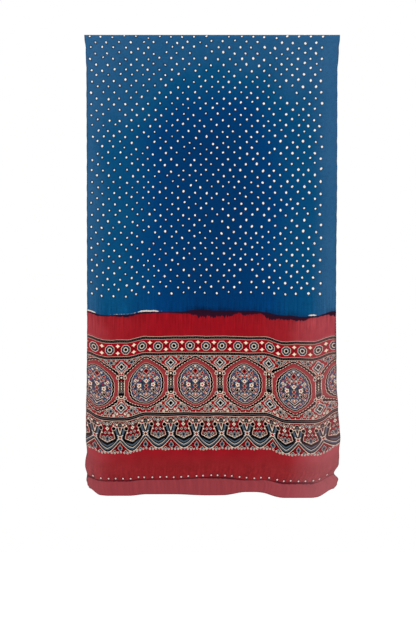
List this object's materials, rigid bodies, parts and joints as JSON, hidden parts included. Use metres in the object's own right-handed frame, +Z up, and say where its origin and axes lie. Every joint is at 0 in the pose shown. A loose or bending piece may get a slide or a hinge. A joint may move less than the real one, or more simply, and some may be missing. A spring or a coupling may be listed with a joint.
{
  "type": "bandhani stole",
  "caption": "Long soft dyed stole hung folded in half over an unseen bar: tied dots on a blue field, a red end with a block-printed border, a tied line above the hem.",
  "frame": {"origin": "middle of the underside of the fold at the stole's top, where a bar would carry it", "axes": "+X across the stole to the viewer's right, -Y out of the front fall towards the viewer, +Z up"},
  "size_m": [0.5755, 0.0505, 1.0396],
  "materials": {
    "cloth": "soft silky tie-dyed and block-printed cloth"
  },
  "bodies": {
    "root": {"stole": "cloth"}
  },
  "joints": []
}
